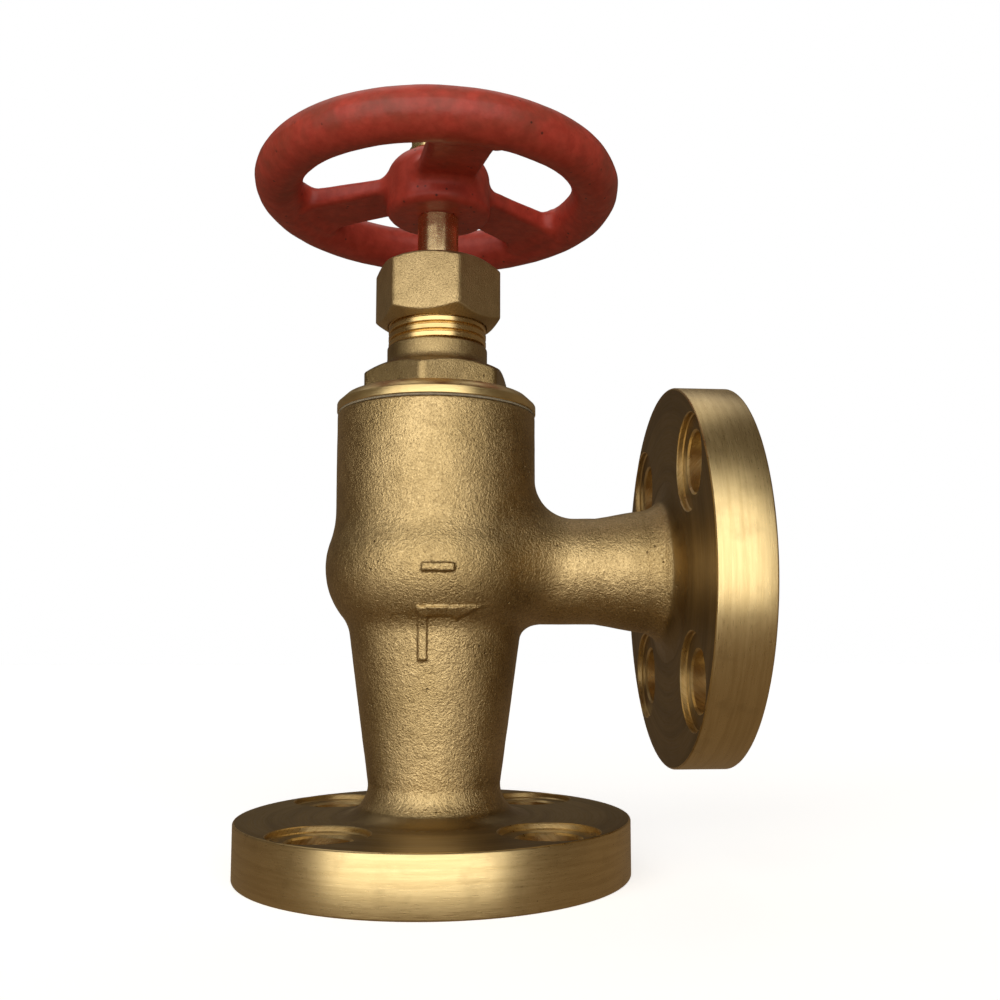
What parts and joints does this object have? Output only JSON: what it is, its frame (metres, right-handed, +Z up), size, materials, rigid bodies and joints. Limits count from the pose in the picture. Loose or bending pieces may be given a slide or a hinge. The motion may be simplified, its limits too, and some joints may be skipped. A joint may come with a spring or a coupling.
{
  "type": "angle stop valve",
  "caption": "Flanged bronze angle stop valve with a bulged body, screwed bonnet, packing nut, rising stem and red spoked handwheel.",
  "frame": {"origin": "centre of the inlet flange's face, on the stem's axis", "axes": "+Z up the stem's axis to the handwheel, +X to the outlet flange; the inlet faces -Z"},
  "size_m": [0.125, 0.1, 0.1991],
  "materials": {
    "cast_bronze": "sand cast, rough, with machined flanges",
    "bonnet_bronze": "sand cast with a turned flange and thread",
    "turned_bronze": "turned and polished",
    "nut_bronze": "blasted",
    "yellow_brass": "machined",
    "gasket": "matt fibre",
    "packing": "braided graphite",
    "red_enamel": "brushed red enamel over cast iron"
  },
  "bodies": {
    "valve_body": {"body": "cast_bronze", "bonnet_gasket": "gasket", "bonnet": "bonnet_bronze", "packing_ring_1": "packing", "packing_ring_2": "packing", "packing_ring_3": "packing", "packing_ring_4": "packing"},
    "disc_body": {"disc": "turned_bronze", "disc_nut": "turned_bronze"},
    "stem_body": {"stem": "turned_bronze", "handwheel": "red_enamel", "handwheel_washer": "yellow_brass", "handwheel_nut": "yellow_brass"},
    "gland_body": {"gland": "turned_bronze"},
    "packing_nut_body": {"packing_nut": "nut_bronze"}
  },
  "joints": [
    {"name": "disc_lift", "type": "slide", "parent": "valve_body", "child": "disc_body", "axis": [0, 0, 1], "range_m": [-0.003, 0.0045]},
    {"name": "handwheel_turn", "type": "hinge", "parent": "disc_body", "child": "stem_body", "pos_m": [0, 0, 0.18], "axis": [0, 0, 1], "range_deg": [-360, 540]},
    {"name": "gland_slide", "type": "slide", "parent": "valve_body", "child": "gland_body", "axis": [0, 0, 1], "range_m": [0, 0.0062]},
    {"name": "packing_nut_turn", "type": "hinge", "parent": "gland_body", "child": "packing_nut_body", "pos_m": [0, 0, 0.15], "axis": [0, 0, 1], "range_deg": [0, 1080]}
  ],
  "couplings": [
    {"joint": "disc_lift", "follows": "handwheel_turn", "m_per_rad": 0.00047746},
    {"joint": "gland_slide", "follows": "packing_nut_turn", "m_per_rad": 0.00031831}
  ]
}
